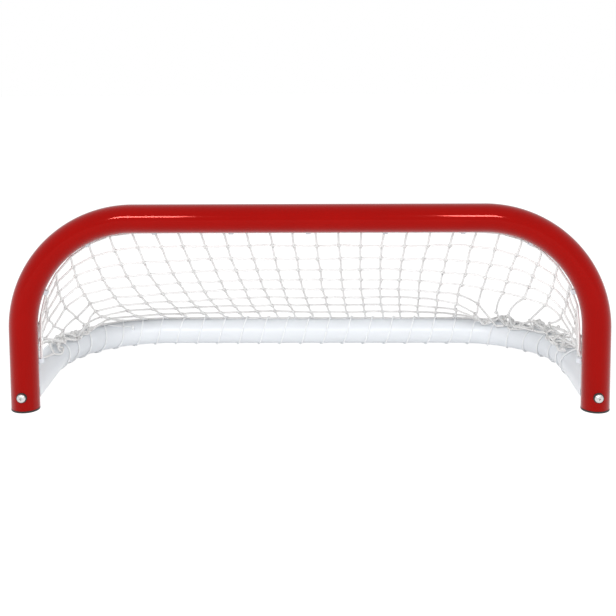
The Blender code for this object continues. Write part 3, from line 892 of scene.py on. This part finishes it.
def cord_tubes(name, lines, radius, sides=CORD_SIDES, closed=False):
    """Round cords along lines of points, as one mesh. U runs once round a cord and V along it in metres."""
    points, faces, cords = [], [], []
    for line in lines:
        line = np.asarray(line)
        along = np.gradient(line, axis=0) if not closed else np.roll(line, -1, 0) - np.roll(line, 1, 0)
        along /= np.linalg.norm(along, axis=1, keepdims=True)
        across = np.cross(along[0], NO_CORDS_WAY)
        first = len(points)
        run = np.r_[0, np.cumsum(np.linalg.norm(np.diff(line, axis=0), axis=1))]
        for place, way in zip(line, along):
            across = across - way * (across @ way)
            across /= np.linalg.norm(across)
            other = np.cross(way, across)
            for side in range(sides):
                turn = side / sides * math.tau
                points.append(place + radius * (math.cos(turn) * across + math.sin(turn) * other))
        count = len(line)
        whole = run[-1] + np.linalg.norm(line[0] - line[-1])
        for step in range(count if closed else count - 1):
            follow = (step + 1) % count
            start, end = run[step], run[follow] if follow else whole
            for side in range(sides):
                beside = (side + 1) % sides
                here, there = first + step * sides, first + follow * sides
                faces.append((here + side, here + beside, there + beside, there + side))
                left, right = side / sides, (side + 1) / sides
                cords.append(((left, start), (right, start), (right, end), (left, end)))
        if not closed:
            last = first + (count - 1) * sides
            faces.append(tuple(first + side for side in reversed(range(sides))))
            faces.append(tuple(last + side for side in range(sides)))
            cords += [((0, 0),) * sides, ((0, run[-1]),) * sides]
    mesh = bpy.data.meshes.new(name)
    mesh.from_pydata([tuple(p) for p in points], [], faces)
    layer = mesh.uv_layers.new(name="cord")
    layer.data.foreach_set("uv", [value for face in cords for corner in face for value in corner])
    piece = bpy.data.objects.new(name, mesh)
    bpy.context.scene.collection.objects.link(piece)
    smooth(piece, CORD_ROUND)
    return piece


def knot_rings(knots):
    """Two crossed turns of cord at each knot, tied round the cords that meet there."""
    rings = []
    for column in range(1, MESHES_ACROSS):
        for row in range(1, MESHES_DEEP):
            place = knots[column, row]
            across = knots[column + 1, row] - knots[column - 1, row]
            down = knots[column, row + 1] - knots[column, row - 1]
            across /= np.linalg.norm(across)
            down /= np.linalg.norm(down)
            out = np.cross(across, down)
            out /= np.linalg.norm(out)
            for lean in (-1, 1):
                long_way = across + lean * down
                long_way /= np.linalg.norm(long_way)
                ring = []
                for step in range(KNOT_STEPS):
                    turn = step / KNOT_STEPS * math.tau
                    flat = KNOT_LONG * math.cos(turn) * long_way
                    ring.append(place + flat + KNOT_HIGH * math.sin(turn) * out)
                rings.append(ring)
    return rings


def maths(tree, operation, *terms):
    """The result of a sum whose terms are plain numbers or other nodes' outputs."""
    links = {place: term for place, term in enumerate(terms) if isinstance(term, bpy.types.NodeSocket)}
    values = {place: term for place, term in enumerate(terms) if place not in links}
    return add_node(tree, "ShaderNodeMath", values, links, operation=operation).outputs[0]


def twisted_cord(name, groove_shade, ply_colour, groove_depth):
    """Three-ply twisted polyester cord: matt white and faintly fuzzy, with painted shade that makes it
    greyer in the grooves between its plies.
    """
    material, tree = new_material(name)
    corner = add_node(tree, "ShaderNodeUVMap", uv_map="cord").outputs["UV"]
    parts = add_node(tree, "ShaderNodeSeparateXYZ", links={"Vector": corner})
    twist = maths(tree, "MULTIPLY", parts.outputs["Y"], 1 / TWIST_PITCH)
    phase = maths(tree, "MULTIPLY_ADD", parts.outputs["X"], PLIES, twist)
    wave = maths(tree, "SINE", maths(tree, "MULTIPLY", phase, math.pi))
    ply = maths(tree, "ABSOLUTE", wave)
    height = maths(tree, "MULTIPLY_ADD", noise(tree, 0.5 * MM, 3.0), 0.25, ply)
    surface(
        tree,
        {
            "Roughness": 0.72,
            "IOR": 1.5,
            "Sheen Weight": 0.3,
            "Sheen Roughness": 0.5,
            "Subsurface Weight": 0.7,
            "Subsurface Radius": (1.0, 1.0, 1.0),
            "Subsurface Scale": 2 * MM,
        },
        {
            # Painted shade: the groove colour darkens the cord where its plies meet, and the ply colour is
            # on their crowns.
            "Base Color": colour_between(tree, ply, groove_shade, ply_colour),
            "Normal": relief(tree, height, 0.3, groove_depth),
        },
    )
    return material


knots = net_knots()
lines = []
for column in range(MESHES_ACROSS + 1):
    places = [(column, row + 0.5) for row in range(MESHES_DEEP)]
    lines.append(strands(knots[column], cord_waves(places), places))
for row in range(MESHES_DEEP + 1):
    places = [(column + 0.5, row) for column in range(MESHES_ACROSS)]
    waves = cord_waves(places) if 0 < row < MESHES_DEEP else np.zeros((MESHES_ACROSS, 3))
    lines.append(strands(knots[:, row], waves, places))
cords = cord_tubes("hung_net", lines, CORD_RADIUS)
ties = cord_tubes("net_knots", knot_rings(knots), KNOT_CORD, KNOT_SIDES, closed=True)
net = joined([cords, ties])
# The first colour is painted shade in the grooves between the cord's plies.
polyester = twisted_cord("white twisted polyester cord", "E4E4E4", "EFEFEE", 0.2 * MM)
give(net, polyester, "white_cord", "net")

# Lacing
# A thinner twisted cord ties the net's foot to the base: once round the tube and the foot cord for every
# 42 mm, drawn tight. The goal's base lies on its turns. A knotted spare end lies along the left bend.
LACING_CORD = 1.3 * MM
LACING_PITCH = 42 * MM
LACING_START = 186 * MM
LACING_STOP = 1404 * MM
LACING_POINTS = 24
LACING_SIDES = 8
LACING_RADIUS = BASE_Z - LACING_CORD
LACING_TURNS = round((LACING_STOP - LACING_START) / LACING_PITCH)
OVER_FOOT_CORD = FOOT_CORD_RADIUS + CORD_RADIUS + LACING_CORD + FIT / 2
RISE_SHARE = 0.055
TAIL_FROM = 362 * MM
TAIL_TO = 412 * MM
TAIL_START = math.radians(14)
TAIL_FALL = math.radians(34)
TAIL_SLACK = 0.6
TAIL_STEPS = 16
TAIL_KNOT = 3.5 * MM
TAIL_KNOT_STEPS = 8
TAIL_KNOT_CORD = 1.6 * LACING_CORD


def lacing_line():
    """The lacing's line: round the tube turn by turn, rising over the foot cord on top of each."""
    points = []
    for step in range(LACING_TURNS * LACING_POINTS + 1):
        turn = step / LACING_POINTS
        distance = LACING_START + (LACING_STOP - LACING_START) * turn / LACING_TURNS
        on_top = math.exp(-((((turn + 0.5) % 1) - 0.5) / RISE_SHARE) ** 2)
        radius = LACING_RADIUS + (OVER_FOOT_CORD - LACING_RADIUS) * on_top
        points.append(round_base(distance, -turn * math.tau, radius))
    return points


def tail_line():
    """The spare end: from under the foot cord down the tube's inner side, in a slack curve."""
    points = []
    for step in range(TAIL_STEPS + 1):
        share = step / TAIL_STEPS
        angle = TAIL_START + TAIL_FALL * share**TAIL_SLACK
        points.append(round_base(TAIL_FROM + (TAIL_TO - TAIL_FROM) * share, angle, LACING_RADIUS))
    return points


def tail_knot(tail):
    """A ring of cord across the spare end's tip, for the knot that keeps it from fraying."""
    along = (tail[-1] - tail[-2]) / np.linalg.norm(tail[-1] - tail[-2])
    across = np.cross(along, (0, 0, 1))
    across /= np.linalg.norm(across)
    up = np.cross(across, along)
    centre = tail[-1] + TAIL_KNOT * TO_PLAYER
    turns = np.linspace(0, math.tau, TAIL_KNOT_STEPS, endpoint=False)
    return [centre + TAIL_KNOT * (math.cos(turn) * across + math.sin(turn) * up) for turn in turns]


tail = tail_line()
turns = cord_tubes("foot_lacing", [lacing_line(), tail], LACING_CORD, LACING_SIDES)
knot = cord_tubes("lacing_knot", [tail_knot(tail)], TAIL_KNOT_CORD, LACING_SIDES, closed=True)
lacing = joined([turns, knot])
# The lacing's first colour is a faint painted shade in the grooves between its plies.
give(lacing, twisted_cord("white lacing cord", "F3F7FB", "F8FBFE", 0.08 * MM), "white_cord", "net_lacing")

# Floor, backdrop and lamps
# A plain white studio floor that runs into a white background, and two soft lamps in front of the goal. The
# floor shows white to the camera and keeps a faint shadow. The room's light comes mostly from low down and
# from the sides, so that the net's crosswise cords stand out a little from those down the net.
FLOOR_SIZE = 14
FLOOR_MATT = "F8F8F8"
FLOOR_SHADE = "A0A0A0"
FLOOR_GLOW = 0.9
BACKGROUND = 1.0
LEVEL_LOW = 0.71
LEVEL_OVERHEAD = 0.16
LEVEL_REACH = 0.4
LEVEL_BESIDE = 0.9
LAMP_HEIGHT = 1.72
LAMP_BEFORE = -3.13
LAMP_TALL = 0.55
LAMPS = (("left_lamp", -0.93, 0.60, 38), ("right_lamp", 0.79, 0.45, 31))
AIM = Vector((0, 0, 0.2))


def shown_rays(tree):
    """1 for the rays that show a thing as it looks, and 0 for those that light other things."""
    rays = add_node(tree, "ShaderNodeLightPath")
    seen = maths(tree, "MAXIMUM", rays.outputs["Is Camera Ray"], rays.outputs["Is Glossy Ray"])
    return maths(tree, "MAXIMUM", seen, rays.outputs["Is Transmission Ray"])


def one_or_other(tree, share, first, second):
    """A shader that is the first where the share is 0, and the second where it is 1."""
    links = {0: share, 1: first.outputs[0], 2: second.outputs[0]}
    return add_node(tree, "ShaderNodeMixShader", links=links).outputs[0]


def studio_floor():
    """Matt white paint, which the camera sees as the white background with the goal's shadow on it."""
    material, tree = new_material("white studio floor")
    matt = add_node(tree, "ShaderNodeBsdfDiffuse", {"Color": linear(FLOOR_MATT)})
    shade = add_node(tree, "ShaderNodeBsdfDiffuse", {"Color": linear(FLOOR_SHADE)})
    glow = add_node(tree, "ShaderNodeEmission", {"Color": (1, 1, 1, 1), "Strength": FLOOR_GLOW})
    white = add_node(tree, "ShaderNodeAddShader", links={0: shade.outputs[0], 1: glow.outputs[0]})
    both = one_or_other(tree, shown_rays(tree), matt, white)
    add_node(tree, "ShaderNodeOutputMaterial", links={"Surface": both})
    return material


def studio_world():
    """A white background, and the room's soft light: mostly low, and more from the sides."""
    world = bpy.data.worlds.new("studio")
    world.use_nodes = True
    tree = world.node_tree
    tree.nodes.clear()
    way = add_node(tree, "ShaderNodeTexCoord").outputs["Generated"]
    parts = add_node(tree, "ShaderNodeSeparateXYZ", links={"Vector": way})
    level = value_between(tree, parts.outputs["Z"], LEVEL_LOW, LEVEL_OVERHEAD, end=LEVEL_REACH)
    beside = maths(tree, "ABSOLUTE", parts.outputs["X"])
    strength = maths(tree, "MULTIPLY_ADD", beside, LEVEL_BESIDE, level)
    light = add_node(tree, "ShaderNodeBackground", {"Color": (1, 1, 1, 1)}, {"Strength": strength})
    shown = add_node(tree, "ShaderNodeBackground", {"Color": (1, 1, 1, 1), "Strength": BACKGROUND})
    both = one_or_other(tree, shown_rays(tree), light, shown)
    add_node(tree, "ShaderNodeOutputWorld", links={"Surface": both})
    return world


deselect()
bpy.ops.mesh.primitive_plane_add(size=FLOOR_SIZE)
floor = bpy.context.object
floor.name = "floor"
floor.data.materials.append(studio_floor())
bpy.context.scene.world = studio_world()
for name, aside, wide, power in LAMPS:
    lamp_data = bpy.data.lights.new(name, "AREA")
    lamp_data.shape = "RECTANGLE"
    lamp_data.size = wide
    lamp_data.size_y = LAMP_TALL
    lamp_data.energy = power
    lamp = bpy.data.objects.new(name, lamp_data)
    place = Vector((aside, LAMP_BEFORE, LAMP_HEIGHT))
    turn = (AIM - place).to_track_quat("-Z", "Y").to_matrix()
    lamp.matrix_world = Matrix.Translation(place) @ turn.to_4x4()
    bpy.context.scene.collection.objects.link(lamp)
bpy.context.scene.view_settings.view_transform = "Standard"
